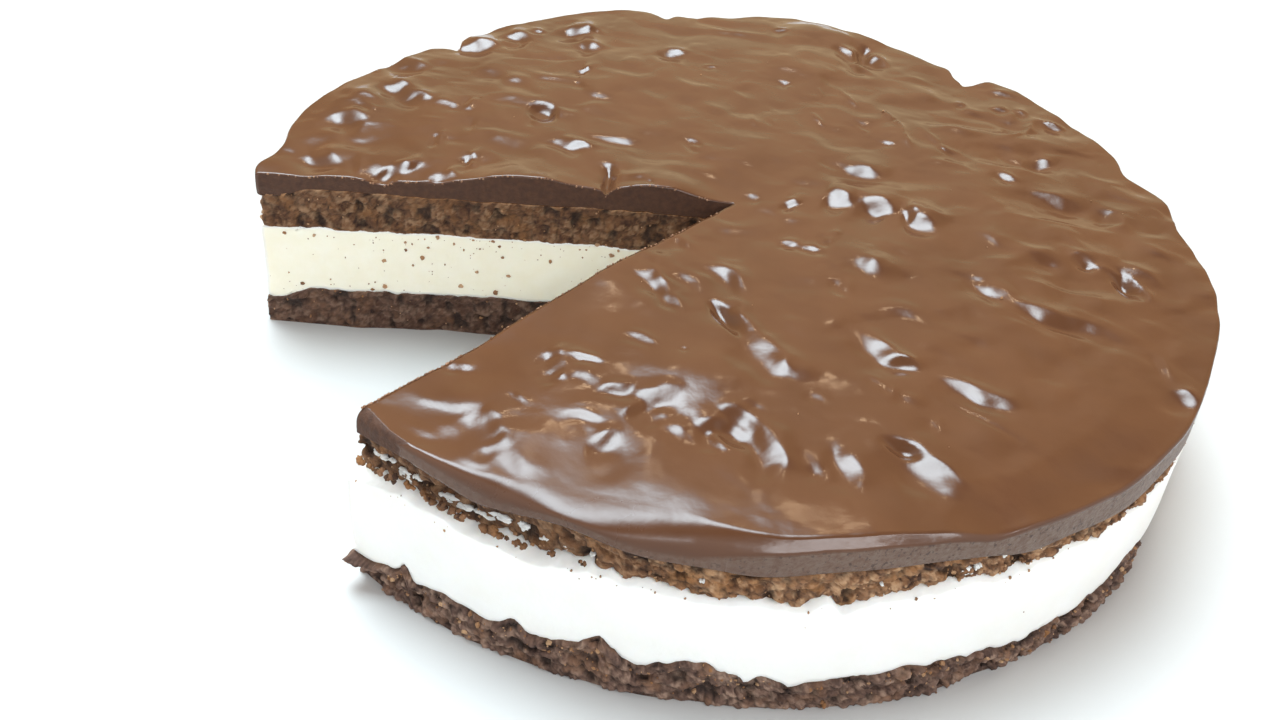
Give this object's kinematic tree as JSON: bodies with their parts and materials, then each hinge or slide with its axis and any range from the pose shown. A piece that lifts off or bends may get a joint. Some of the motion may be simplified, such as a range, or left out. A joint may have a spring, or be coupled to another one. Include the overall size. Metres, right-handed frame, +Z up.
{
  "type": "chocolate cream cake",
  "caption": "Round layer cake with a wedge missing: dark sponge, white cream filling, dark sponge and a spread chocolate glaze.",
  "frame": {"origin": "on the cake's axis at its underside, where the two cut faces meet", "axes": "+Z up through the layers; the far cut face runs from the axis towards -X, and the missing wedge opens towards -X and -Y"},
  "size_m": [0.263, 0.2648, 0.0544],
  "materials": {
    "bottom_sponge": "matte open crumb of dark cocoa sponge, torn at the rim",
    "cream_filling": "soft satin white cream, warmer where it was cut",
    "top_sponge": "matte open crumb of dark cocoa sponge",
    "chocolate_glaze": "glossy set chocolate glaze with spatula marks, matte where it was cut"
  },
  "bodies": {
    "root": {"bottom_sponge": "bottom_sponge", "cream_filling": "cream_filling", "top_sponge": "top_sponge", "chocolate_glaze": "chocolate_glaze"}
  },
  "joints": []
}
